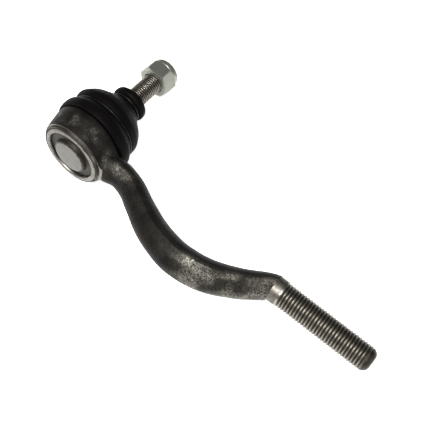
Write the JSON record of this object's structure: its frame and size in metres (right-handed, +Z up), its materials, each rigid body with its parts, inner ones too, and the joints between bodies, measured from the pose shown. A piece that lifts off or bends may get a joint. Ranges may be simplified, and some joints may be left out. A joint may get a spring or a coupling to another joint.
{
  "type": "tie rod end",
  "caption": "Outer tie rod end: swan-neck forging with a male-threaded shank, sealed ball stud under a rubber boot, and a self-locking nut.",
  "frame": {"origin": "centre of the closing plate's raised button, on the stud axis", "axes": "+X along the shank from the ball to the threaded end, +Y along the stud from the closing plate to the nut, +Z up, square to the plane that holds the stud, the thread and the swan neck; the part lies on its side"},
  "size_m": [0.2383, 0.1122, 0.0526],
  "materials": {
    "forged_steel": "as-forged, scaled and scuffed",
    "stud_steel": "turned, thread rolled",
    "acetal": "moulded",
    "spring_steel": "phosphated",
    "zinc_plate": "pressed, zinc plated",
    "boot_rubber": "moulded, satin",
    "zinc_nut": "zinc plated",
    "nylon": "moulded"
  },
  "bodies": {
    "socket": {"socket_forging": "forged_steel", "upper_bearing": "acetal", "lower_bearing": "acetal", "disc_spring": "spring_steel", "closing_plate": "zinc_plate", "lower_boot_ring": "spring_steel"},
    "boot": {"dust_boot": "boot_rubber"},
    "boot_collar": {"upper_boot_ring": "spring_steel"},
    "stud": {"ball_stud": "stud_steel"},
    "nut_insert": {"nut_nylon_insert": "nylon"},
    "nut": {"nut_body": "zinc_nut"}
  },
  "joints": [
    {"name": "tilt_direction", "type": "hinge", "parent": "socket", "child": "boot", "pos_m": [0, 0.0144, 0], "axis": [0, 1, 0], "continuous": true},
    {"name": "stud_tilt", "type": "hinge", "parent": "boot", "child": "boot_collar", "pos_m": [0, 0.0144, 0], "axis": [1, 0, 0], "range_deg": [-20, 20], "deforming": ["dust_boot"]},
    {"name": "stud_spin", "type": "hinge", "parent": "boot_collar", "child": "stud", "pos_m": [0, 0.0144, 0], "axis": [0, 1, 0], "continuous": true},
    {"name": "nut_travel", "type": "slide", "parent": "stud", "child": "nut_insert", "axis": [0, 1, 0], "range_m": [-0.018, 0.0105]},
    {"name": "nut_turn", "type": "hinge", "parent": "nut_insert", "child": "nut", "pos_m": [0, 0.0784, 0], "axis": [0, 1, 0], "range_deg": [-4320, 2520]}
  ],
  "couplings": [
    {"joint": "nut_travel", "follows": "nut_turn", "m_per_rad": 0.00023873}
  ]
}
